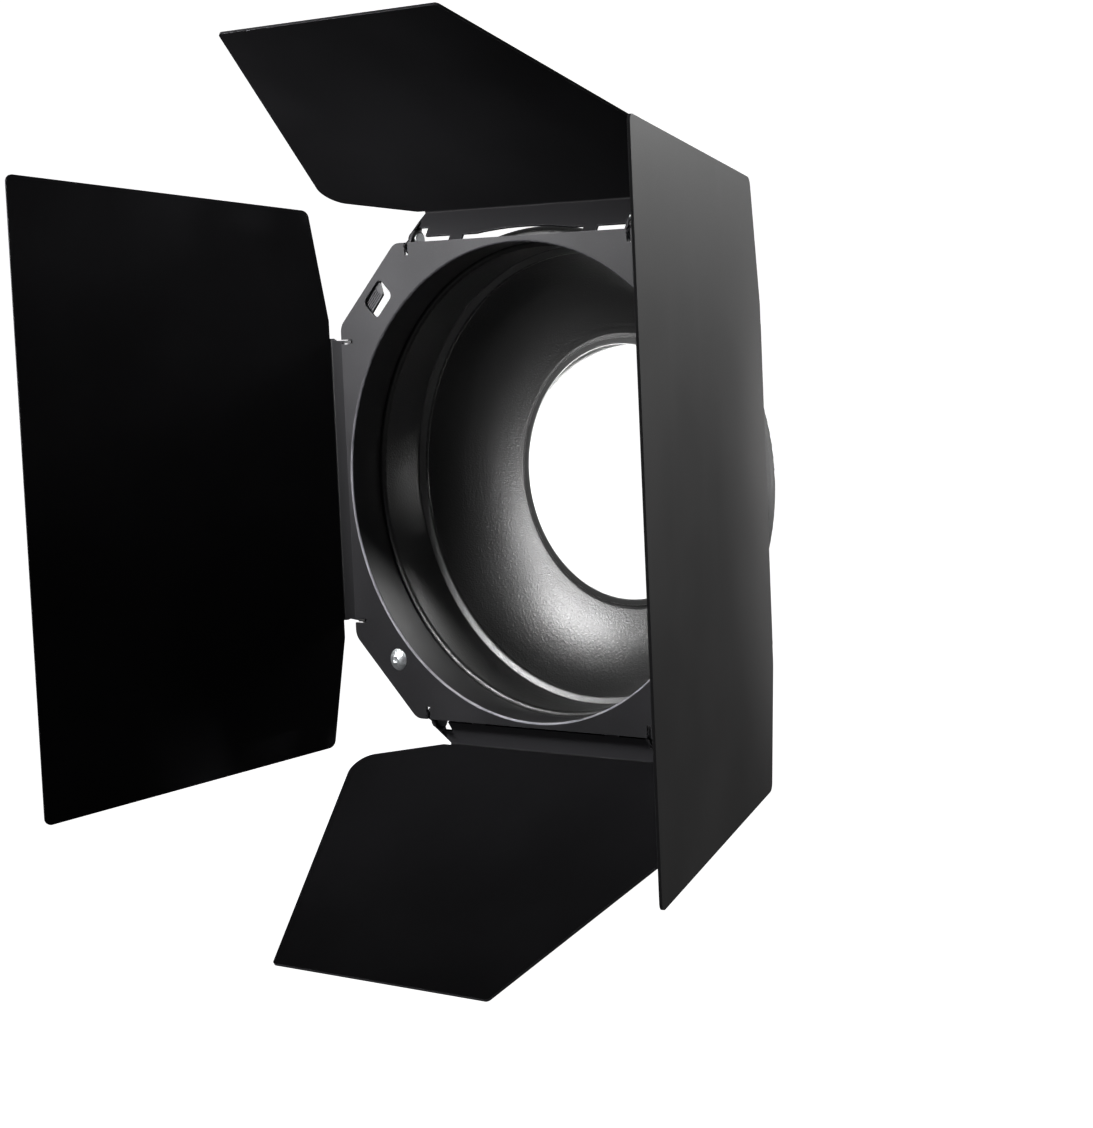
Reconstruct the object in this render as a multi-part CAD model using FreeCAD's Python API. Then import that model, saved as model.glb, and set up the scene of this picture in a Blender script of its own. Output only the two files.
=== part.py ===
"""Four-leaf barn door set on its own spun dish, with an S-type three-lug bayonet at the back.

Millimetres. +Z is up, the light leaves towards -Y, and the optical axis is the Y axis.
The origin is the centre of the bore, on the face of the bayonet ring that seats on the light.
The dish stays with the light. The square frame turns on the dish's rolled rim, held by three
fixed clips and one sprung latch, and carries four leaves on riveted hinges.
"""
import FreeCAD, Part
import math
import os

V = FreeCAD.Vector
X_AXIS = V(1, 0, 0)
Y_AXIS = V(0, 1, 0)
Z_AXIS = V(0, 0, 1)

# Along the optical axis
SEAT_TO_PLATE = 64.0          # front face of the frame to the seating face of the bayonet ring
FRONT = -SEAT_TO_PLATE        # y of the frame's front face

# Frame: a square plate with cut corners and a spun collar round the opening
OPENING_R = 90.0
PLATE_HALF = 92.3
PLATE_T = 1.0
CORNER_CUT = 153.5            # |x| + |z| on the cut corners
CORNER_R = 6.0
COLLAR_LENGTH = 15.2
COLLAR_T = 1.0
OPENING_EDGE_R = 0.8

# Dish: spun sheet with a rolled rim, a straight wall, a joggle and a round bowl
SHEET_T = 1.2
RIM_FRONT = 15.7              # all dish depths are behind the frame's front face
RIM_ROLL_R = 2.5
RIM_ROLL_CENTRE_R = 93.2
RIM_CURL = 150                # how far round the roll goes past its widest point, in degrees
RIM_EDGE_R = 1.6
WALL_R = 88.0
JOGGLE = [(88.0, 36.3, 0.8), (85.3, 37.9, 1.4)]     # corners as (radius, depth, corner radius)
BOWL_MOUTH = (85.3, 39.0)
BOWL_CORNER = (73.9, 55.6)    # where the bowl's tangents at its mouth and its floor meet
BOWL_R = 54.5
FLOOR_DEPTH = 61.0
FLOOR_R = 54.0
BORE_R = 49.6

# Bayonet ring
SPIGOT_R = 51.0
LIP_R = 52.4
LIP_T = 1.0
FLANGE_R = 61.5
COLLAR_R = 53.0
COLLAR_BACK = 7.4             # how far the bayonet reaches behind the seating face
LUG_R = 58.5
LUG_T = 2.4
LUG_ANGLE = 24.0
LOCK_NOTCH_R = 2.5
LOCK_NOTCH_DEPTH = 3.0

# Hinges: ears on the frame and on the leaf, side by side, with a rivet through both
LEAF_T = 1.0
EAR_T = 1.0
FRAME_EAR_AT = 52.9           # inner face of the frame's ear, along the hinge line
FRAME_EAR_FOOT = (6.5, 1.0)   # how far the frame ear's foot runs inward and outward of the hinge line
WASHER_T = 0.5
SIDE_PLAY = 0.1
RIVET_R = 1.5
RIVET_CLEARANCE = 0.05
RIVET_HEAD_R = 2.6
RIVET_HEAD_H = 1.4
RIVET_TAIL_R = 2.4
RIVET_TAIL_H = 1.0
SLOT_AT = 55.0                # relief slots in the frame's edges, where the leaf's ears pass
SLOT_WIDTH = 1.8
LEAF_EAR_AT = FRAME_EAR_AT + EAR_T + WASHER_T + SIDE_PLAY
BEND_R = 1.6                  # outside of the bend between a leaf's strip and its panel
BEND_RELIEF = 3.0             # the strip's ends taper to the bend over this length

# Leaves. Hinge places are (depth behind the frame's front face, distance from the optical axis).
# Rest angles are between the panel and straight ahead. A nose is the part of a leaf's ear that
# stands in the frame's relief slot at rest: its direction, its reach and half its width.
TALL = dict(hinge=(5.1, 93.15), strip=13.0, offset=0.0, edge=1.2, end_edge=5.2, slot=4.8,
            ear_r=3.0, frame_ear_r=3.6, nose=(-0.817, -0.577, 6.5, 1.8), bend_half=53.9,
            inner=(97.6, 13.1), outer=(53.0, 122.7), inner_r=9.0, outer_r=2.0, stops=True, notch=1.8)
BOTTOM = dict(TALL, edge=0.5, notch=0.0)
WIDE = dict(hinge=(4.6, 89.6), strip=17.2, offset=-2.3, edge=5.5, end_edge=5.5, slot=6.1,
            ear_r=2.8, frame_ear_r=3.4, nose=(-0.995, -0.1, 4.5, 1.6), bend_half=56.4,
            inner=(107.1, 7.9), outer=(124.2, 129.9), inner_r=3.5, outer_r=2.5, stops=False, notch=0.0)
SIDES = {"top": (0, TALL, 31.3), "right": (90, WIDE, 19.6),
         "bottom": (180, BOTTOM, 32.8), "left": (270, WIDE, 21.3)}
STRIP_MIDDLE = 49.4           # half the length of a tall strip's closer middle edge
STOP_TAB_AT = 30.0
STOP_TAB_WIDTH = 6.4
STOP_TAB_REACH = 4.05
NOTCH_HALF = 23.5             # half the length of the shallow curve in front of the rolled rim

# Rim clips at three corners, measured along the diagonal from the optical axis
CLIP_ANGLES = {"upper_right": 45, "lower_right": 135, "lower_left": 225}
LATCH_ANGLE = 315
CLIP_T = 1.2
CLIP_HALF = 8.0
CLIP_FOOT = (94.5, 104.2)
CLIP_BEND_R = 1.8
CLIP_TIP_R = 91.5
HOOK_GAP = 0.4
CLIP_RIVET_AT = 98.4
CLIP_RIVET_R = 2.0
CLIP_HEAD_R = 4.3
CLIP_HEAD_H = 1.9
CLIP_TAIL_R = 3.3
CLIP_TAIL_H = 1.1
CLIP_DIMPLE_R = 1.7
CLIP_DIMPLE_DEPTH = 0.5

# Latch: a sprung slide on two studs, pushed outwards with a fingertip through the window
WINDOW = (96.1, 105.6)
WINDOW_HALF = 6.4
WINDOW_CORNER_R = 2.2
SLIDE_GAP = 0.3
SLIDE_T = 1.2
SLIDE_TRAVEL = 4.9
PAD_LIP = [(2.0, 100.9, 0.8), (4.4, 105.2, 0.5)]    # the pad's shaped edge, as (x, radius, corner)
PAD_LOW = 100.3
GROOVE_X = (-7.5, 1.5)
GROOVE_FIRST = 101.3
GROOVE_PITCH = 0.9
GROOVE_DEPTH = 0.35
GROOVES = 5
STUD_AT = (12.0, 105.4)
STUD_R = 1.5
STUD_HEAD_R = 2.2
STUD_HEAD_T = 1.0
SLIDE_WING = (9.0, 15.0)
SLIDE_R = (96.7, 108.2)
SLIDE_EAR = (103.5, 106.6)
SPRING_AT = 17.5
SPRING_POST_R = 0.9
SPRING_POST_LENGTH = 4.0
SPRING_PEG_LENGTH = 2.4
SPRING_ENDS = (95.0, 104.8)
SPRING_R = 1.4
SPRING_WIRE_R = 0.25
SPRING_OFF_SLIDE = 1.1        # from the slide's back to the springs' centre plane
SPRING_GAP = 0.1


def at(depth):
    """y of a plane that lies depth behind the frame's front face."""
    return FRONT + depth


def block(x, y, z):
    """A box between two values along each axis."""
    return Part.makeBox(x[1] - x[0], y[1] - y[0], z[1] - z[0], V(x[0], y[0], z[0]))


def rounded(corners, place, closed):
    """Edges through (u, v, radius) corners; place turns (u, v) into a point."""
    ends = []
    for i, (u, v, radius) in enumerate(corners):
        here = V(u, v, 0)
        if radius == 0:
            ends.append((here, None, here))
            continue
        back = (V(*corners[i - 1][:2], 0) - here).normalize()
        ahead = (V(*corners[(i + 1) % len(corners)][:2], 0) - here).normalize()
        half = back.getAngle(ahead) / 2
        run = radius / math.tan(half)
        middle = (back + ahead).normalize()
        mid = here + middle * (radius / math.sin(half) - radius)
        ends.append((here + back * run, mid, here + ahead * run))
    edges = []
    for i, (start, mid, end) in enumerate(ends):
        if mid is not None:
            edges.append(Part.Arc(*[place(p.x, p.y) for p in (start, mid, end)]).toShape())
        if closed or i < len(ends) - 1:
            following = ends[(i + 1) % len(ends)][0]
            if (following - end).Length > 1e-6:
                places = place(end.x, end.y), place(following.x, following.y)
                edges.append(Part.LineSegment(*places).toShape())
    return edges


def outline(corners, place):
    """A closed wire through (u, v, radius) corners."""
    return Part.Wire(Part.__sortEdges__(rounded(corners, place, True)))


def sheet_y(corners, y):
    """A plate of (x, z, radius) corners between two y values."""
    wire = outline(corners, lambda u, v: V(u, y[0], v))
    return Part.Face(wire).extrude(V(0, y[1] - y[0], 0))


def sheet_z(corners, z):
    """A plate of (x, y, radius) corners between two z values."""
    wire = outline(corners, lambda u, v: V(u, v, z[0]))
    return Part.Face(wire).extrude(V(0, 0, z[1] - z[0]))


def sheet_x(corners, x):
    """A plate of (y, z, radius) corners between two x values."""
    wire = outline(corners, lambda u, v: V(x[0], u, v))
    return Part.Face(wire).extrude(V(x[1] - x[0], 0, 0))


def spun(edges):
    """The full turn about the optical axis of a closed section in the YZ plane."""
    face = Part.Face(Part.Wire(Part.__sortEdges__(edges)))
    return face.revolve(V(0, 0, 0), Y_AXIS, 360)


def lines(points):
    """Straight edges through (radius, depth) points of a section."""
    places = [V(0, at(depth), radius) for radius, depth in points]
    return [Part.LineSegment(a, b).toShape() for a, b in zip(places, places[1:])]


def arc(centre, radius, start, end):
    """An arc of a section about (radius, depth), angles from the radial direction to the back."""
    def point(degrees):
        turn = math.radians(degrees)
        return V(0, at(centre[1] + radius * math.sin(turn)), centre[0] + radius * math.cos(turn))
    return Part.Arc(point(start), point((start + end) / 2), point(end)).toShape()


def turned(shape, angle):
    """A copy turned about the optical axis, from the top side towards +X."""
    copy = shape.copy()
    copy.rotate(V(0, 0, 0), Y_AXIS, angle)
    return copy


def mirrored(shape):
    """The copy on the other side of the YZ plane."""
    return shape.mirror(V(0, 0, 0), V(1, 0, 0))


def both(shape):
    """The shape and its mirror image, as one list."""
    return [shape, mirrored(shape)]


def joined(shapes):
    """One solid from touching or overlapping pieces."""
    return shapes[0].fuse(shapes[1:]).removeSplitter()


def dome(base, direction, radius, height):
    """A spherical rivet head standing on base."""
    ball_r = (radius ** 2 + height ** 2) / (2 * height)
    centre = base - direction * (ball_r - height)
    head = Part.makeSphere(ball_r, centre)
    return head.common(Part.makeCylinder(radius * 1.5, height * 1.5, base, direction))


def tongue(foot_depth, low, high, centre, radius, x):
    """A plate from a straight foot, low to high, to a round end about (depth, height)."""
    def tangent(height, choose):
        dy = foot_depth - centre[0]
        dz = height - centre[1]
        facing = math.atan2(dz, dy)
        swing = math.acos(radius / math.hypot(dy, dz))
        ends = [(centre[0] + radius * math.cos(turn), centre[1] + radius * math.sin(turn))
                for turn in (facing - swing, facing + swing)]
        return choose(ends, key=lambda end: end[1])
    corners = [(foot_depth, low), tangent(low, min), tangent(high, max), (foot_depth, high)]
    web = sheet_x([(at(depth), z, 0) for depth, z in corners], x)
    end = Part.makeCylinder(radius, x[1] - x[0], V(x[0], at(centre[0]), centre[1]), X_AXIS)
    return joined([web, end])


def dish_shell():
    """The spun dish: rolled rim, straight wall, joggle, round bowl and flat floor, of one thickness."""
    roll = arc((RIM_ROLL_CENTRE_R, RIM_FRONT + RIM_ROLL_R), RIM_ROLL_R, RIM_CURL, -90)
    corners = [(RIM_ROLL_CENTRE_R, RIM_FRONT, 0), (WALL_R, RIM_FRONT, RIM_EDGE_R)] + JOGGLE
    corners += [(*BOWL_MOUTH, 0), (*BOWL_CORNER, BOWL_R)]
    corners += [(FLOOR_R, FLOOR_DEPTH, 0), (SPIGOT_R, FLOOR_DEPTH, 0)]
    inside = rounded(corners, lambda radius, depth: V(0, at(depth), radius), False)
    face = Part.Wire(Part.__sortEdges__([roll] + inside)).makeOffset2D(-SHEET_T, 0, True, True)
    return face.revolve(V(0, 0, 0), Y_AXIS, 360)


def bayonet_ring():
    """The ring swaged into the dish's floor, with its seating flange, three lugs and lock notches."""
    lip = FLOOR_DEPTH - LIP_T
    floor_back = FLOOR_DEPTH + SHEET_T
    seat = SEAT_TO_PLATE
    end = seat + COLLAR_BACK
    ring = spun(lines([(BORE_R, lip), (LIP_R, lip), (LIP_R, FLOOR_DEPTH), (SPIGOT_R, FLOOR_DEPTH),
                       (SPIGOT_R, floor_back), (FLANGE_R, floor_back), (FLANGE_R, seat),
                       (COLLAR_R, seat), (COLLAR_R, end), (BORE_R, end), (BORE_R, lip)]))
    root = COLLAR_R - 1
    front = end - LUG_T
    lug_face = Part.Face(Part.Wire(lines([(root, front), (LUG_R, front), (LUG_R, end), (root, end),
                                          (root, front)])))
    lug = lug_face.revolve(V(0, 0, 0), Y_AXIS, LUG_ANGLE)
    lug.rotate(V(0, 0, 0), Y_AXIS, -LUG_ANGLE / 2)
    ring = joined([ring] + [turned(lug, angle) for angle in (0, 120, 240)])
    notch = Part.makeCylinder(LOCK_NOTCH_R, LOCK_NOTCH_DEPTH + 1, V(0, -LOCK_NOTCH_DEPTH, FLANGE_R), Y_AXIS)
    for angle in (60, 180, 300):
        ring = ring.cut(turned(notch, angle))
    return ring


def frame_ears(leaf):
    """The two hinge ears behind the frame's top edge, with their rivet holes."""
    depth, height = leaf["hinge"]
    inward, outward = FRAME_EAR_FOOT
    x = (FRAME_EAR_AT, FRAME_EAR_AT + EAR_T)
    ear = tongue(PLATE_T / 2, height - inward, min(PLATE_HALF, height + outward), (depth, height),
                 leaf["frame_ear_r"], x)
    hole = Part.makeCylinder(RIVET_R, 3 * EAR_T, V(x[0] - EAR_T, at(depth), height), X_AXIS)
    return both(ear.cut(hole))


def frame_plate():
    """The square plate with its collar, hinge ears, relief slots, rivet holes and latch window."""
    through = (at(-1), at(PLATE_T + 1))
    drill = PLATE_T + 2
    outer = OPENING_R + COLLAR_T
    edge = OPENING_EDGE_R
    cut = CORNER_CUT - PLATE_HALF
    corners = [(cut, PLATE_HALF), (PLATE_HALF, cut), (PLATE_HALF, -cut), (cut, -PLATE_HALF),
               (-cut, -PLATE_HALF), (-PLATE_HALF, -cut), (-PLATE_HALF, cut), (-cut, PLATE_HALF)]
    plate = sheet_y([(x, z, CORNER_R) for x, z in corners], (at(0), at(PLATE_T)))
    plate = plate.cut(Part.makeCylinder(outer, drill, V(0, through[0], 0), Y_AXIS))
    collar = lines([(OPENING_R, edge), (OPENING_R, COLLAR_LENGTH), (outer, COLLAR_LENGTH), (outer, 0),
                    (OPENING_R + edge, 0)])
    collar.append(arc((OPENING_R + edge, edge), edge, 270, 180))
    pieces = [plate, spun(collar)]
    for angle, leaf, rest in SIDES.values():
        pieces += [turned(ear, angle) for ear in frame_ears(leaf)]
    frame = joined(pieces)
    slot_x = (SLOT_AT - SLOT_WIDTH / 2, SLOT_AT + SLOT_WIDTH / 2)
    for angle, leaf, rest in SIDES.values():
        slot = block(slot_x, through, (PLATE_HALF - leaf["slot"], PLATE_HALF + 1))
        for piece in both(slot):
            frame = frame.cut(turned(piece, angle))
    hole = Part.makeCylinder(CLIP_RIVET_R, drill, V(0, through[0], CLIP_RIVET_AT), Y_AXIS)
    for angle in CLIP_ANGLES.values():
        frame = frame.cut(turned(hole, angle))
    low, high = WINDOW
    corners = [(-WINDOW_HALF, low), (WINDOW_HALF, low), (WINDOW_HALF, high), (-WINDOW_HALF, high)]
    window = sheet_y([(x, z, WINDOW_CORNER_R) for x, z in corners], through)
    return frame.cut(turned(window, LATCH_ANGLE))


def rim_clip(angle):
    """A riveted foot, a leg past the rolled rim and a hook behind it."""
    foot, leg = CLIP_FOOT
    leg_in = leg - CLIP_T
    foot_back = PLATE_T + CLIP_T
    hook = RIM_FRONT + 2 * RIM_ROLL_R + HOOK_GAP
    hook_back = hook + CLIP_T
    bend_in = CLIP_BEND_R - CLIP_T
    section = [(PLATE_T, foot, 0), (PLATE_T, leg, CLIP_BEND_R), (hook_back, leg, CLIP_BEND_R),
               (hook_back, CLIP_TIP_R, 0), (hook, CLIP_TIP_R, 0), (hook, leg_in, bend_in),
               (foot_back, leg_in, bend_in), (foot_back, foot, 0)]
    clip = sheet_x([(at(depth), z, radius) for depth, z, radius in section], (-CLIP_HALF, CLIP_HALF))
    clip = clip.cut(Part.makeCylinder(CLIP_RIVET_R, foot_back, V(0, at(0), CLIP_RIVET_AT), Y_AXIS))
    return turned(clip, angle)


def clip_rivets():
    """One domed rivet for each fixed clip."""
    back = PLATE_T + CLIP_T
    shank = Part.makeCylinder(CLIP_RIVET_R, back, V(0, at(0), CLIP_RIVET_AT), Y_AXIS)
    head = dome(V(0, at(0), CLIP_RIVET_AT), -Y_AXIS, CLIP_HEAD_R, CLIP_HEAD_H)
    tail = dome(V(0, at(back), CLIP_RIVET_AT), Y_AXIS, CLIP_TAIL_R, CLIP_TAIL_H)
    top = V(0, at(-CLIP_HEAD_H), CLIP_RIVET_AT)
    dimple_r = (CLIP_DIMPLE_R ** 2 + CLIP_DIMPLE_DEPTH ** 2) / (2 * CLIP_DIMPLE_DEPTH)
    dimple = Part.makeSphere(dimple_r, top - Y_AXIS * (dimple_r - CLIP_DIMPLE_DEPTH))
    rivet = joined([head, shank, tail]).cut(dimple)
    return Part.makeCompound([turned(rivet, angle) for angle in CLIP_ANGLES.values()])


def latch_slide():
    """The latch's plate with its grooved fingertip pad, two slotted wings and two rim hooks."""
    front = PLATE_T + SLIDE_GAP
    back = front + SLIDE_T
    y = (at(front), at(back))
    inner, outer = SLIDE_WING
    low, high = SLIDE_R
    lip_end = PAD_LIP[-1][1]
    bridge = sheet_y([(-inner - 1, PAD_LOW, 0)] + PAD_LIP +
                     [(inner + 1, lip_end, 0), (inner + 1, high, 0), (-inner - 1, high, 0)], y)
    wing = sheet_y([(inner, low, 0), (outer, low, 0), (outer, high, 1.5), (inner, high, 0)], y)
    ear_end = SPRING_AT + 1.6
    ear_low, ear_high = SLIDE_EAR
    ear = sheet_y([(outer - 1, ear_low, 0), (ear_end, ear_low, 1), (ear_end, ear_high, 1),
                   (outer - 1, ear_high, 0)], y)
    hook = RIM_FRONT + 2 * RIM_ROLL_R + HOOK_GAP
    leg = block((inner, outer), (at(front), at(hook + SLIDE_T)), (low, low + SLIDE_T))
    tip = block((inner, outer), (at(hook), at(hook + SLIDE_T)), (CLIP_TIP_R, low + SLIDE_T))
    peg_foot = V(SPRING_AT, at(back), SPRING_ENDS[1])
    peg = Part.makeCylinder(SPRING_POST_R, SPRING_PEG_LENGTH, peg_foot, Y_AXIS)
    pieces = [bridge]
    for piece in (wing, ear, leg, tip, peg):
        pieces += both(piece)
    slide = joined(pieces)
    run = STUD_R + RIVET_CLEARANCE
    stud_x, stud_z = STUD_AT
    inward = stud_z - SLIDE_TRAVEL
    ends = [Part.makeCylinder(run, SLIDE_T, V(stud_x, y[0], z), Y_AXIS) for z in (inward, stud_z)]
    slot = joined([block((stud_x - run, stud_x + run), y, (inward, stud_z))] + ends)
    for piece in both(slot):
        slide = slide.cut(piece)
    for i in range(GROOVES):
        z = GROOVE_FIRST + GROOVE_PITCH * i
        slide = slide.cut(block(GROOVE_X, (y[0], y[0] + GROOVE_DEPTH), (z, z + GROOVE_PITCH / 2)))
    return turned(slide, LATCH_ANGLE)


def latch_studs():
    """The two headed studs that guide the latch's slide."""
    stud_x, stud_z = STUD_AT
    length = 2 * SLIDE_GAP + SLIDE_T
    shank = Part.makeCylinder(STUD_R, length, V(stud_x, at(PLATE_T), stud_z), Y_AXIS)
    head = Part.makeCylinder(STUD_HEAD_R, STUD_HEAD_T, V(stud_x, at(PLATE_T + length), stud_z), Y_AXIS)
    return Part.makeCompound([turned(stud, LATCH_ANGLE) for stud in both(joined([shank, head]))])


def spring_posts():
    """The two small posts that hold the fixed ends of the latch's springs."""
    foot = V(SPRING_AT, at(PLATE_T), SPRING_ENDS[0])
    post = Part.makeCylinder(SPRING_POST_R, SPRING_POST_LENGTH, foot, Y_AXIS)
    return Part.makeCompound([turned(piece, LATCH_ANGLE) for piece in both(post)])


def latch_springs():
    """Two small tension springs: a close-wound body, as a tube, and a loop at each end."""
    depth = PLATE_T + SLIDE_GAP + SLIDE_T + SPRING_OFF_SLIDE
    loop_end = SPRING_R + SPRING_WIRE_R + SPRING_GAP
    low = SPRING_ENDS[0] + loop_end
    high = SPRING_ENDS[1] - loop_end
    foot = V(SPRING_AT, at(depth), low)
    body = Part.makeCylinder(SPRING_R + SPRING_WIRE_R, high - low, foot)
    body = body.cut(Part.makeCylinder(SPRING_R - SPRING_WIRE_R, high - low, foot))
    pieces = both(body)
    for end in SPRING_ENDS:
        pieces += both(Part.makeTorus(SPRING_R, SPRING_WIRE_R, V(SPRING_AT, at(depth), end), Y_AXIS))
    return Part.makeCompound([turned(piece, LATCH_ANGLE) for piece in pieces])


def leaf_strip(leaf, plane, along):
    """The strip from the hinge to the bend, with room cut for the frame's ears and rivet tails."""
    half = LEAF_T / 2
    straight = leaf["strip"] - BEND_R
    end = LEAF_EAR_AT + EAR_T
    edge = [(end, along(leaf["end_edge"])), (end, along(straight - BEND_RELIEF)),
            (leaf["bend_half"], along(straight))]
    edge += [(-x, y) for x, y in reversed(edge)]
    if leaf["edge"] < leaf["end_edge"]:
        edge += [(-STRIP_MIDDLE, along(leaf["end_edge"])), (-STRIP_MIDDLE, along(leaf["edge"])),
                 (STRIP_MIDDLE, along(leaf["edge"])), (STRIP_MIDDLE, along(leaf["end_edge"]))]
    return sheet_z([(x, y, 0) for x, y in edge], (plane - half, plane + half))


def leaf_panel(leaf, plane, along):
    """The bend and the flared panel beyond it, as two touching pieces."""
    half = LEAF_T / 2
    bend_half = leaf["bend_half"]
    bend_y = along(leaf["strip"] - BEND_R)
    drop = BEND_R - half
    bend_z = plane - drop
    corner = V(-bend_half, bend_y, bend_z)
    bend = Part.makeCylinder(BEND_R, 2 * bend_half, corner, X_AXIS)
    bend = bend.cut(Part.makeCylinder(BEND_R - LEAF_T, 2 * bend_half, corner, X_AXIS))
    quarter = block((-bend_half, bend_half), (bend_y - BEND_R, bend_y), (bend_z, bend_z + BEND_R))
    inner_x, inner_t = leaf["inner"]
    outer_x, outer_t = leaf["outer"]
    start_x = bend_half + (inner_x - bend_half) * drop / inner_t
    flare = [(bend_half, bend_z, 0), (start_x, bend_z, 0), (inner_x, plane - inner_t, leaf["inner_r"]),
             (outer_x, plane - outer_t, leaf["outer_r"])]
    flare += [(-x, z, radius) for x, z, radius in reversed(flare)]
    front = bend_y - BEND_R
    return [bend.common(quarter), sheet_y(flare, (front, front + LEAF_T))]


def nose(leaf, rest):
    """The bar on a leaf's ear that stands in the frame's relief slot at rest, in the shut place."""
    depth, height = leaf["hinge"]
    forward, upward, reach, half = leaf["nose"]
    length = math.sqrt(reach ** 2 - half ** 2)
    bar = sheet_x([(0, -half, 0), (length, -half, 0), (length, half, 0), (0, half, 0)],
                  (LEAF_EAR_AT, LEAF_EAR_AT + EAR_T))
    bar.rotate(V(0, 0, 0), X_AXIS, math.degrees(math.atan2(upward, forward)) + 90 + rest)
    bar.translate(V(0, at(depth), height))
    return bar


def leaf_ears(leaf, plane, along, rest):
    """The two ears that stand back from the strip's ends to the hinge rivets."""
    depth, height = leaf["hinge"]
    half = LEAF_T / 2
    ear_r = leaf["ear_r"]
    x = (LEAF_EAR_AT, LEAF_EAR_AT + EAR_T)
    root = along(leaf["strip"] - BEND_R - BEND_RELIEF)
    web = sheet_x([(at(depth), height + ear_r, 0), (at(depth), height - ear_r, 0),
                   (root, plane - half, 0), (root, plane + half, 0)], x)
    eye = Part.makeCylinder(ear_r, EAR_T, V(x[0], at(depth), height), X_AXIS)
    return both(web) + both(eye) + both(nose(leaf, rest))


def rim_notch(leaf, plane, along):
    """The shallow curve cut from a strip's hinge edge, in front of the dish's rolled rim."""
    depth = leaf["notch"]
    radius = (NOTCH_HALF ** 2 + depth ** 2) / (2 * depth)
    centre = V(0, along(leaf["edge"] + depth) + radius, plane - LEAF_T)
    return Part.makeCylinder(radius, 2 * LEAF_T, centre, Z_AXIS)


def closed_leaf(leaf, rest):
    """A leaf in the top side's place, shut flat: the strip runs forward, the panel inward."""
    depth, height = leaf["hinge"]
    plane = height + leaf["offset"]

    def along(distance):
        return at(depth - distance)

    strip = leaf_strip(leaf, plane, along)
    if leaf["notch"]:
        strip = strip.cut(rim_notch(leaf, plane, along))
    pieces = [strip] + leaf_panel(leaf, plane, along) + leaf_ears(leaf, plane, along, rest)
    if leaf["stops"]:
        tab = block((STOP_TAB_AT, STOP_TAB_AT + STOP_TAB_WIDTH),
                    (along(leaf["edge"] + 1), along(-STOP_TAB_REACH)),
                    (plane - LEAF_T / 2, plane + LEAF_T / 2))
        pieces += both(tab)
    shape = joined(pieces)
    hole = Part.makeCylinder(RIVET_R + RIVET_CLEARANCE, EAR_T, V(LEAF_EAR_AT, at(depth), height), X_AXIS)
    for piece in both(hole):
        shape = shape.cut(piece)
    return shape


def leaf_at_rest(side):
    """A leaf swung open about its rivets to its rest angle, on its own side of the frame."""
    angle, leaf, rest = SIDES[side]
    depth, height = leaf["hinge"]
    shape = closed_leaf(leaf, rest)
    shape.rotate(V(0, at(depth), height), X_AXIS, -(90 + rest))
    return turned(shape, angle)


def hinge_rivets(side):
    """The pair of rivets through the ears of one side's hinge."""
    angle, leaf, rest = SIDES[side]
    depth, height = leaf["hinge"]
    tail_x = FRAME_EAR_AT - RIVET_TAIL_H
    head_x = LEAF_EAR_AT + EAR_T + SIDE_PLAY
    foot = V(tail_x, at(depth), height)
    shank = Part.makeCylinder(RIVET_R, head_x - tail_x, foot, X_AXIS)
    tail = Part.makeCylinder(RIVET_TAIL_R, RIVET_TAIL_H, foot, X_AXIS)
    head = dome(V(head_x, at(depth), height), X_AXIS, RIVET_HEAD_R, RIVET_HEAD_H)
    rivets = both(joined([shank, tail, head]))
    return Part.makeCompound([turned(rivet, angle) for rivet in rivets])


def hinge_washers(side):
    """The friction washers between the ears of one side's hinge."""
    angle, leaf, rest = SIDES[side]
    depth, height = leaf["hinge"]
    place = V(FRAME_EAR_AT + EAR_T, at(depth), height)
    washer = Part.makeCylinder(leaf["ear_r"], WASHER_T, place, X_AXIS)
    washer = washer.cut(Part.makeCylinder(RIVET_R + RIVET_CLEARANCE, WASHER_T, place, X_AXIS))
    return Part.makeCompound([turned(piece, angle) for piece in both(washer)])


def build():
    """Every node of the model, by name."""
    nodes = {"dish_shell": dish_shell(), "bayonet_ring": bayonet_ring(), "frame_plate": frame_plate(),
             "clip_rivets": clip_rivets(), "latch_slide": latch_slide(), "latch_studs": latch_studs(),
             "latch_spring_posts": spring_posts(), "latch_springs": latch_springs()}
    for name, angle in CLIP_ANGLES.items():
        nodes["rim_clip_" + name] = rim_clip(angle)
    for side in SIDES:
        nodes["leaf_" + side] = leaf_at_rest(side)
        nodes["hinge_rivets_" + side] = hinge_rivets(side)
        nodes["hinge_washers_" + side] = hinge_washers(side)
    return nodes


def main():
    os.makedirs("parts", exist_ok=True)
    for name, shape in build().items():
        shape.exportStep("parts/" + name + ".step")
        print(name, "solids", len(shape.Solids), "valid", shape.isValid(), "volume", round(shape.Volume, 1))


main()
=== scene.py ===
"""Looks for the four-leaf barn door set: materials, real springs, studio and camera. Metres."""
import math

import bpy
from mathutils import Matrix, Vector


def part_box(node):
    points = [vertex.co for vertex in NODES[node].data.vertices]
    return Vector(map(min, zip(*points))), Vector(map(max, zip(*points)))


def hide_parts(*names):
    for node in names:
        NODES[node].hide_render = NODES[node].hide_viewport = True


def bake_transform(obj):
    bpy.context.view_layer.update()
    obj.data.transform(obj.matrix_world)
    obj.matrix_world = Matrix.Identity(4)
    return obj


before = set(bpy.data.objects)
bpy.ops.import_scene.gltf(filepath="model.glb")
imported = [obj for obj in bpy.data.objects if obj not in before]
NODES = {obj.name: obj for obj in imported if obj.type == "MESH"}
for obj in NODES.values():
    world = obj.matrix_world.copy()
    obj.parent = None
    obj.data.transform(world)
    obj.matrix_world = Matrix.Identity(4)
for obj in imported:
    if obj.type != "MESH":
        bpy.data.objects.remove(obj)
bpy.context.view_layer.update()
MM = 0.001

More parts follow.
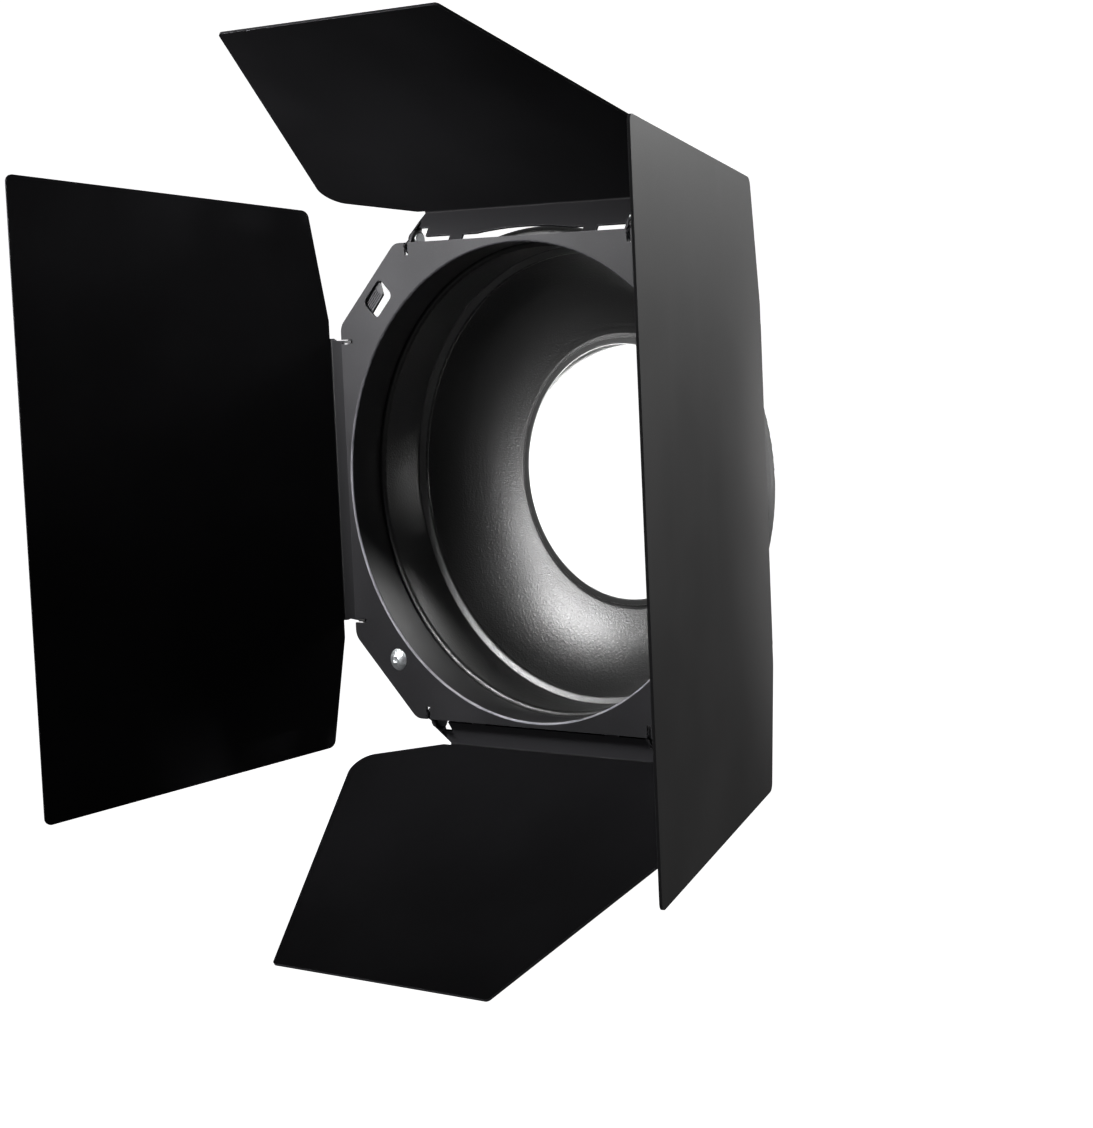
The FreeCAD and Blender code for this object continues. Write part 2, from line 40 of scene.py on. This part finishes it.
# Camera, as seen from the beam's side: a long lens, a little above the axis and slightly rolled
PLATE_FRONT = Vector((0, -64 * MM, 0))
CAMERA_AZIMUTH = math.radians(41.0)
CAMERA_ELEVATION = math.radians(5.37)
CAMERA_ROLL = math.radians(-2.55)
CAMERA_DISTANCE = 1062.2 * MM
CAMERA_ASIDE = 8.35 * MM
CAMERA_BELOW = 29.87 * MM
LENS_MM = 90.75

# Places on the part that its finishes follow
BORE_R = 49.6 * MM            # of the bayonet ring
COLLAR_R = 90.1 * MM          # of the inside of the frame's collar
OPENING_R = 90.4 * MM         # of the middle of the frame's rolled edge
OPENING_Y = -63.8 * MM
JOGGLE_Y = -26.9 * MM         # of the middle of the dish's joggle

# Each leaf: the way its inner face looks when straight ahead, the greys of its panel's outside and of its
# strip, and how strongly the outside shines. The greys differ from leaf to leaf as painted light and shade on
# one coat: the bottom strip is painted lighter and the top strip darker.
LEAVES = {"top": dict(inner=(0, 0, -1), panel=0.012, strip=0.008, specular=0.08),
          "right": dict(inner=(-1, 0, 0), panel=0.014, strip=0.014, specular=0.38),
          "bottom": dict(inner=(0, 0, 1), panel=0.014, strip=0.055, specular=0.38),
          "left": dict(inner=(1, 0, 0), panel=0.014, strip=0.013, specular=0.42)}

COOL = (0.98, 0.96, 1.06)     # tints of the greys
WARM = (1.04, 0.99, 1.0)
ZINC = (0.97, 1.0, 1.03)


# Node helpers

def add(tree, kind, inputs=None, **settings):
    """A shader node with its settings made and its inputs set or linked."""
    made = tree.nodes.new("ShaderNode" + kind)
    for key, value in settings.items():
        setattr(made, key, value)
    for key, value in (inputs or {}).items():
        if isinstance(value, bpy.types.NodeSocket):
            tree.links.new(value, made.inputs[key])
        else:
            made.inputs[key].default_value = value
    return made


def blank(name):
    """A new material, with its tree and its Principled shader."""
    material = bpy.data.materials.new(name)
    material.use_nodes = True
    tree = material.node_tree
    return material, tree, tree.nodes["Principled BSDF"]


def finish(tree, shader, **inputs):
    """Links or sets the shader's inputs, named with _ for each space."""
    for key, value in inputs.items():
        socket = shader.inputs[key.replace("_", " ")]
        if isinstance(value, bpy.types.NodeSocket):
            tree.links.new(value, socket)
        else:
            socket.default_value = value


def noise(tree, scale, detail=3.0, stretch=None):
    """Noise in the part's own coordinates, about one feature per 1/scale metres."""
    place = add(tree, "TexCoord").outputs["Object"]
    if stretch:
        place = add(tree, "Mapping", {"Vector": place, "Scale": stretch}).outputs[0]
    return add(tree, "TexNoise", {"Vector": place, "Scale": scale, "Detail": detail}).outputs["Fac"]


def between(tree, value, low, high, to_low=0.0, to_high=1.0):
    """value taken from low..high to to_low..to_high, and held there outside."""
    made = add(tree, "MapRange", {"Value": value, "From Min": low, "From Max": high,
                                  "To Min": to_low, "To Max": to_high})
    return made.outputs[0]


def math_node(tree, operation, first, second=0.0):
    return add(tree, "Math", {0: first, 1: second}, operation=operation).outputs[0]


def times(tree, first, second):
    return math_node(tree, "MULTIPLY", first, second)


def turned_place(tree):
    """Radius about the optical axis, y and z, in the part's own coordinates."""
    x, y, z = add(tree, "SeparateXYZ", {0: add(tree, "TexCoord").outputs["Object"]}).outputs
    flat = add(tree, "CombineXYZ", {0: x, 2: z}).outputs[0]
    radius = add(tree, "VectorMath", {0: flat}, operation="LENGTH").outputs["Value"]
    return radius, y, z


def turning_lines(tree, radius, y, scale):
    """Noise that runs round the optical axis, as the lines of spinning or turning do."""
    place = add(tree, "CombineXYZ", {0: radius, 1: y}).outputs[0]
    return add(tree, "TexNoise", {"Vector": place, "Scale": scale, "Detail": 4.0}).outputs["Fac"]


def near(tree, value, centre, reach):
    """1 at centre, fading to 0 at reach from it."""
    away = math_node(tree, "ABSOLUTE", math_node(tree, "SUBTRACT", value, centre))
    return between(tree, away, reach * 0.6, reach, 1.0, 0.0)


def dot(tree, vector, direction):
    return add(tree, "VectorMath", {0: vector, 1: direction}, operation="DOT_PRODUCT").outputs["Value"]


def blend_colour(tree, factor, first, second):
    return add(tree, "Mix", {0: factor, 6: first, 7: second}, data_type="RGBA").outputs[2]


def grey(value, tint=(1.0, 1.0, 1.0)):
    return (value * tint[0], value * tint[1], value * tint[2], 1.0)


def clouded(tree, cloud, dark, light, tint=(1.0, 1.0, 1.0)):
    """A grey that drifts from dark to light with a noise."""
    return blend_colour(tree, between(tree, cloud, 0.3, 0.7), grey(dark, tint), grey(light, tint))


def rounded_normal(tree, width):
    """The normal, rounded over width at the edges of a sheet."""
    return add(tree, "Bevel", {"Radius": width}, samples=4).outputs[0]


def edge_wear(tree, rounded):
    """How near an edge a point is, from 0 to 1, read from its rounded normal."""
    plain = add(tree, "NewGeometry").outputs["Normal"]
    return between(tree, dot(tree, rounded, plain), 0.995, 0.9)


def patchy(tree, worn, scale, least):
    """Edge wear broken up by noise, and never under least of itself."""
    return times(tree, worn, between(tree, noise(tree, scale, 5.0), 0.35, 0.62, least, 1.0))


def bumped(tree, normal, *layers):
    """normal with one bump per (height, distance) layer."""
    for height, distance in layers:
        normal = add(tree, "Bump", {"Height": height, "Distance": distance, "Normal": normal}).outputs[0]
    return normal


# Materials

def powder_coat(name, base, edge, roughness, specular):
    """Fine-textured black powder coat, rubbed along its sheet edges, with painted shade darkening the inside
    of the collar and a painted highlight along the opening's rolled edge.
    """
    material, tree, shader = blank(name)
    rounded = rounded_normal(tree, 0.35 * MM)
    radius, y, z = turned_place(tree)
    grain = noise(tree, 1900.0, 4.0)
    cloud = noise(tree, 22.0, 4.0)
    speck = between(tree, grain, 0.62, 0.74, 0.0, 0.6)
    body = clouded(tree, cloud, base * 0.8, base * 1.25, COOL)
    body = blend_colour(tree, speck, body, grey(base * 2.2, COOL))
    # Painted shade: the inside of the collar is made much darker
    collar = between(tree, radius, COLLAR_R, COLLAR_R + 0.2 * MM, 0.8, 0.0)
    body = blend_colour(tree, collar, body, grey(base * 0.15, COOL))
    scuff = patchy(tree, edge_wear(tree, rounded), 160.0, 0.35)
    body = blend_colour(tree, scuff, body, grey(edge, COOL))

    # Painted highlight along the rolled edge of the opening: a light line, strong at the bottom and hardly
    # there at the top
    opening = times(tree, near(tree, radius, OPENING_R, 0.5 * MM), near(tree, y, OPENING_Y, 0.45 * MM))
    opening = times(tree, opening, between(tree, z, -30 * MM, 50 * MM, 1.0, 0.05))
    opening_glint = times(tree, opening, between(tree, noise(tree, 90.0, 4.0), 0.3, 0.6, 0.5, 1.0))
    finish(tree, shader, Base_Color=blend_colour(tree, opening_glint, body, grey(0.30, COOL)),
           Roughness=between(tree, cloud, 0.3, 0.7, roughness - 0.05, roughness + 0.05),
           Specular_IOR_Level=specular, Normal=bumped(tree, rounded, (grain, 0.035 * MM)))
    return material


def leaf_finish(name, inner, panel, strip, specular):
    """Powder coat on the outside and the strip, and dead matte black on the panel's inner face."""
    material, tree, shader = blank(name)
    rounded = rounded_normal(tree, 0.3 * MM)
    grain = noise(tree, 1700.0, 4.0)
    cloud = noise(tree, 14.0, 4.0)
    rubs = noise(tree, 60.0, 6.0, (1.0, 1.0, 0.15))
    lean = dot(tree, add(tree, "TexCoord").outputs["Normal"], inner)
    inside = between(tree, lean, 0.6, 0.9)
    on_strip = between(tree, math_node(tree, "ABSOLUTE", lean), 0.3, 0.6, 1.0, 0.0)
    coat = clouded(tree, cloud, panel * 0.85, panel * 1.15, WARM)
    coat = blend_colour(tree, between(tree, rubs, 0.60, 0.75, 0.0, 0.3), coat, grey(0.03, WARM))
    # The strip takes its own grey, set leaf by leaf; the differences between leaves are painted light and
    # shade
    coat = blend_colour(tree, on_strip, coat, grey(strip, COOL))
    matte = between(tree, cloud, 0.35, 0.65)
    matte = blend_colour(tree, matte, grey(0.0055, COOL), grey(0.0085, COOL))
    body = blend_colour(tree, inside, coat, matte)
    scuff = patchy(tree, edge_wear(tree, rounded), 120.0, 0.3)
    rough = between(tree, cloud, 0.3, 0.7, 0.50, 0.60)
    finish(tree, shader, Base_Color=blend_colour(tree, scuff, body, grey(0.09, COOL)),
           Roughness=math_node(tree, "ADD", rough, times(tree, inside, 0.35)),
           Specular_IOR_Level=between(tree, inside, 0.0, 1.0, specular, 0.03),
           Normal=bumped(tree, rounded, (grain, 0.03 * MM)))
    return material


def spun_paint(name, base, roughness, specular):
    """Satin black paint over spun metal, with faint turning lines, edges lightened partly as wear and partly
    as painted highlight, and a painted highlight round the joggle.
    """
    material, tree, shader = blank(name)
    rounded = rounded_normal(tree, 0.35 * MM)
    radius, y, _ = turned_place(tree)
    turning = turning_lines(tree, radius, y, 900.0)
    grain = noise(tree, 1500.0, 3.0)
    cloud = noise(tree, 25.0, 4.0)
    # Edges lightened: partly wear, partly painted highlight on the rim and joggle lines
    worn = between(tree, edge_wear(tree, rounded), 0.0, 1.0, 0.0, 0.6)
    body = clouded(tree, cloud, base * 0.8, base * 1.25)
    body = blend_colour(tree, worn, body, grey(base * 4))
    # Painted highlight: a light band round the joggle
    body = blend_colour(tree, near(tree, y, JOGGLE_Y, 0.9 * MM), body, grey(base * 28))
    finish(tree, shader, Base_Color=body,
           Roughness=between(tree, turning, 0.3, 0.7, roughness - 0.04, roughness + 0.06),
           Specular_IOR_Level=specular,
           Normal=bumped(tree, rounded, (turning, 0.012 * MM), (grain, 0.14 * MM)))
    return material


def plated(name, base, roughness, tint=(1.0, 1.0, 1.0)):
    """Plated steel with a faint mottle and dull spots."""
    material, tree, shader = blank(name)
    mottle = noise(tree, 900.0, 5.0)
    spots = between(tree, noise(tree, 2600.0, 3.0), 0.55, 0.7)
    body = clouded(tree, mottle, base * 0.75, base * 1.1, tint)
    finish(tree, shader, Base_Color=blend_colour(tree, spots, body, grey(base * 0.55, tint)),
           Roughness=between(tree, mottle, 0.3, 0.7, roughness - 0.08, roughness + 0.1), Metallic=1.0,
           Normal=bumped(tree, rounded_normal(tree, 0.15 * MM), (mottle, 0.02 * MM)))
    return material


def worn_ring(name):
    """Satin black on the bayonet, bare in the machined bore and where the lugs and edges rub."""
    material, tree, shader = blank(name)
    rounded = rounded_normal(tree, 0.5 * MM)
    radius, y, _ = turned_place(tree)
    turning = turning_lines(tree, radius, y, 1500.0)
    patches = noise(tree, 130.0, 6.0)
    rubbed = times(tree, edge_wear(tree, rounded), between(tree, patches, 0.42, 0.56))
    scratch = times(tree, between(tree, turning, 0.60, 0.68), between(tree, patches, 0.5, 0.65))
    bare = math_node(tree, "MAXIMUM", rubbed, times(tree, scratch, 0.7))
    machined = between(tree, radius, BORE_R + 0.1 * MM, BORE_R + 0.5 * MM, 1.0, 0.0)
    skin = blend_colour(tree, bare, grey(0.016), grey(0.42))
    rough = between(tree, turning, 0.3, 0.7, 0.30, 0.44)
    finish(tree, shader, Base_Color=blend_colour(tree, machined, skin, grey(0.80)), Metallic=bare,
           Roughness=math_node(tree, "ADD", rough, times(tree, machined, 0.35)), Specular_IOR_Level=0.35,
           Normal=bumped(tree, rounded, (turning, 0.012 * MM)))
    return material


def nylon(name):
    """Black nylon with a faint moulded mottle."""
    material, tree, shader = blank(name)
    mottle = noise(tree, 700.0, 3.0)
    finish(tree, shader, Base_Color=blend_colour(tree, mottle, grey(0.03), grey(0.05)),
           Roughness=between(tree, mottle, 0.3, 0.7, 0.42, 0.55))
    return material


def give(node, material):
    """Puts one material in every slot of a CAD node."""
    for place in NODES[node].material_slots:
        place.material = material


def inward(side):
    """The way a leaf's inner face looks at rest: its side, leaned by the slope of the leaf's box."""
    low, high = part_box("leaf_" + side)
    across = Vector(LEAVES[side]["inner"])
    spread = (high - low).dot(Vector([abs(part) for part in across]))
    slope = math.atan2(spread, high.y - low.y)
    return across * math.cos(slope) + Vector((0, -1, 0)) * math.sin(slope)


def dress():
    """Every CAD node's finish."""
    frame_coat = powder_coat("frame_coat", base=0.018, edge=0.07, roughness=0.44, specular=0.28)
    latch_coat = powder_coat("latch_black", base=0.03, edge=0.12, roughness=0.40, specular=0.45)
    zinc = plated("zinc_plate", base=0.85, roughness=0.46, tint=ZINC)
    dull_zinc = plated("zinc_dull", base=0.26, roughness=0.50, tint=ZINC)
    washer = nylon("washer_black")
    give("dish_shell", spun_paint("dish_satin", base=0.0035, roughness=0.34, specular=0.72))
    give("bayonet_ring", worn_ring("bayonet_black"))
    give("latch_slide", latch_coat)
    for name in ("frame_plate", "rim_clip_upper_right", "rim_clip_lower_right", "rim_clip_lower_left"):
        give(name, frame_coat)
    for name in ("clip_rivets", "latch_studs", "latch_spring_posts"):
        give(name, zinc)
    for side, leaf in LEAVES.items():
        coat = leaf_finish("leaf_black_" + side, inward(side), leaf["panel"], leaf["strip"], leaf["specular"])
        give("leaf_" + side, coat)
        give("hinge_rivets_" + side, dull_zinc)
        give("hinge_washers_" + side, washer)


# Latch springs

SPRING_ASIDE = 17.5 * MM      # from the latch's centre line
SPRING_FROM = 95.0 * MM       # radius of the fixed post
SPRING_TO = 104.8 * MM        # radius of the slide's peg
SPRING_Y = -60.4 * MM
COIL_R = 1.4 * MM
COIL_START = COIL_R + 0.35 * MM
COIL_TURNS = 10
COIL_STEPS = 20               # in each turn of the coil
EYE_STEPS = 24
WIRE_R = 0.25 * MM
OUTWARD = Vector((-math.sqrt(0.5), 0, math.sqrt(0.5)))
ACROSS = Vector((math.sqrt(0.5), 0, math.sqrt(0.5)))


def spring_eye(first_angle, height):
    """Points of an eye of wire that stands upright in the x-z plane, centred at height."""
    turns = [math.radians(first_angle + 360 * i / EYE_STEPS) for i in range(EYE_STEPS + 1)]
    return [(COIL_R * math.cos(turn), 0, height + COIL_R * math.sin(turn)) for turn in turns]


def spring_path():
    """Points of one spring along +z: an eye round the post, the coil, and an eye round the peg."""
    length = SPRING_TO - SPRING_FROM
    steps = COIL_TURNS * COIL_STEPS
    coil = []
    for i in range(steps + 1):
        turn = 2 * math.pi * i / COIL_STEPS + math.pi / 2
        height = COIL_START + (length - 2 * COIL_START) * i / steps
        coil.append((COIL_R * math.cos(turn), COIL_R * math.sin(turn), height))
    return spring_eye(90, 0) + coil + spring_eye(270, length)


def spring(name, side, wire):
    """One tension spring of round wire, made at rest as a fixed mesh; the real spring stretches as the latch
    is pressed.
    """
    curve = bpy.data.curves.new(name, "CURVE")
    curve.dimensions = "3D"
    curve.bevel_depth = WIRE_R
    curve.bevel_resolution = 3
    curve.use_fill_caps = True
    points = spring_path()
    line = curve.splines.new("POLY")
    line.points.add(len(points) - 1)
    foot = OUTWARD * SPRING_FROM + ACROSS * side * SPRING_ASIDE + Vector((0, SPRING_Y, 0))
    for point, (x, y, z) in zip(line.points, points):
        place = foot + ACROSS * x * side + Vector((0, y, 0)) + OUTWARD * z
        point.co = (*place, 1)
    holder = bpy.data.objects.new(name + "_curve", curve)
    bpy.context.scene.collection.objects.link(holder)
    bpy.context.view_layer.update()
    mesh = bpy.data.meshes.new_from_object(holder.evaluated_get(bpy.context.evaluated_depsgraph_get()))
    bpy.data.objects.remove(holder)
    piece = bpy.data.objects.new(name, mesh)
    bpy.context.scene.collection.objects.link(piece)
    for polygon in mesh.polygons:
        polygon.use_smooth = True
    mesh.materials.clear()
    mesh.materials.append(wire)
    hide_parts("latch_springs")
    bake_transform(piece)


# Studio: the set hangs in the air, held by its bayonet, well above the floor

FLOOR_Z = -1.2
FLOOR_R = 2.6
SWEEP_R = 1.6
SWEEP_STEPS = 12
WALL_TOP = 6.0
ROUND_STEPS = 96
FLOOR_GLOW = 1.0


def studio_profile():
    """(radius, height) up the floor's edge, its sweep and the wall."""
    turns = [math.radians(90 * i / SWEEP_STEPS) for i in range(SWEEP_STEPS + 1)]
    sweep = [(FLOOR_R + SWEEP_R * math.sin(turn), FLOOR_Z + SWEEP_R * (1 - math.cos(turn))) for turn in turns]
    return sweep + [(FLOOR_R + SWEEP_R, WALL_TOP)]


def studio():
    """A pale floor that sweeps up into a round wall, and that neither lights nor shades the set."""
    profile = studio_profile()
    points = [(0.0, 0.0, FLOOR_Z)]
    for radius, height in profile:
        for i in range(ROUND_STEPS):
            turn = 2 * math.pi * i / ROUND_STEPS
            points.append((radius * math.cos(turn), radius * math.sin(turn), height))
    faces = [(0, 1 + i, 1 + (i + 1) % ROUND_STEPS) for i in range(ROUND_STEPS)]
    for ring in range(len(profile) - 1):
        low = 1 + ring * ROUND_STEPS
        high = low + ROUND_STEPS
        for i in range(ROUND_STEPS):
            after = (i + 1) % ROUND_STEPS
            faces.append((low + i, high + i, high + after, low + after))
    mesh = bpy.data.meshes.new("floor")
    mesh.from_pydata(points, [], faces)
    for polygon in mesh.polygons:
        polygon.use_smooth = True
    floor = bpy.data.objects.new("floor", mesh)
    bpy.context.scene.collection.objects.link(floor)
    material, tree, shader = blank("pale_floor")
    finish(tree, shader, Base_Color=clouded(tree, noise(tree, 3.0, 5.0), 0.76, 0.80), Roughness=0.9,
           Specular_IOR_Level=0.1, Emission_Color=(1, 1, 1, 1), Emission_Strength=FLOOR_GLOW)
    mesh.materials.append(material)
    floor.visible_diffuse = False
    floor.visible_glossy = False
    floor.visible_shadow = False


def soft_light(name, place, aim, width, height, spread, power):
    """A soft light in a grid, at one place in millimetres and aimed at another."""
    light = bpy.data.lights.new(name, "AREA")
    light.shape = "RECTANGLE"
    light.size = width * MM
    light.size_y = height * MM
    light.spread = math.radians(spread)
    light.energy = power
    lamp = bpy.data.objects.new(name, light)
    bpy.context.scene.collection.objects.link(lamp)
    lamp.location = Vector(place) * MM
    away = (Vector(place) - Vector(aim)).normalized()
    lamp.rotation_mode = "QUATERNION"
    lamp.rotation_quaternion = away.to_track_quat("Z", "Y")


def sky(below, level, above):
    """A plain grey surround, with its strength straight down, level with the set and overhead."""
    world = bpy.data.worlds.new("sky")
    bpy.context.scene.world = world
    world.use_nodes = True
    tree = world.node_tree
    height = add(tree, "SeparateXYZ", {0: add(tree, "TexCoord").outputs["Generated"]}).outputs[2]
    lower = between(tree, height, -0.6, 0.0, below, level)
    upper = between(tree, height, 0.0, 1.0, 0.0, above - level)
    finish(tree, tree.nodes["Background"], Color=(1, 1, 1, 1), Strength=math_node(tree, "ADD", lower, upper))


def lights():
    """The surround and four soft lights, each on one part of the set."""
    sky(below=0.12, level=0.045, above=0.25)
    soft_light("bowl_light", (-400, -900, 600), (0, -20, -38), 280, 280, spread=20, power=0.42)
    soft_light("plate_light", (-260, -820, 260), (-76, -64, 158), 220, 220, spread=24, power=0.60)
    soft_light("right_light", (200, 540, 400), (130, -110, 20), 300, 300, spread=120, power=3.1)
    soft_light("bore_light", (540, 64, 0), (-49, 3, 0), 60, 120, spread=28, power=0.5)


def camera():
    """A long lens that looks at the frame's front from the right, a little above the axis."""
    back = Vector((math.sin(CAMERA_AZIMUTH) * math.cos(CAMERA_ELEVATION),
                   -math.cos(CAMERA_AZIMUTH) * math.cos(CAMERA_ELEVATION), math.sin(CAMERA_ELEVATION)))
    level = Vector((0, 0, 1)).cross(back).normalized()
    rise = back.cross(level)
    right = level * math.cos(CAMERA_ROLL) + rise * math.sin(CAMERA_ROLL)
    up = rise * math.cos(CAMERA_ROLL) - level * math.sin(CAMERA_ROLL)
    lens = bpy.data.cameras.new("camera")
    lens.lens = LENS_MM
    viewer = bpy.data.objects.new("camera", lens)
    bpy.context.scene.collection.objects.link(viewer)
    place = PLATE_FRONT + right * CAMERA_ASIDE - up * CAMERA_BELOW + back * CAMERA_DISTANCE
    turn = Matrix((right, up, back)).transposed().to_4x4()
    viewer.matrix_world = Matrix.Translation(place) @ turn
    bpy.context.scene.camera = viewer


bpy.context.scene.view_settings.view_transform = "Standard"
camera()
dress()
steel = plated("spring_wire", base=0.5, roughness=0.25)
spring("latch_spring_upper", 1, steel)
spring("latch_spring_lower", -1, steel)
studio()
lights()
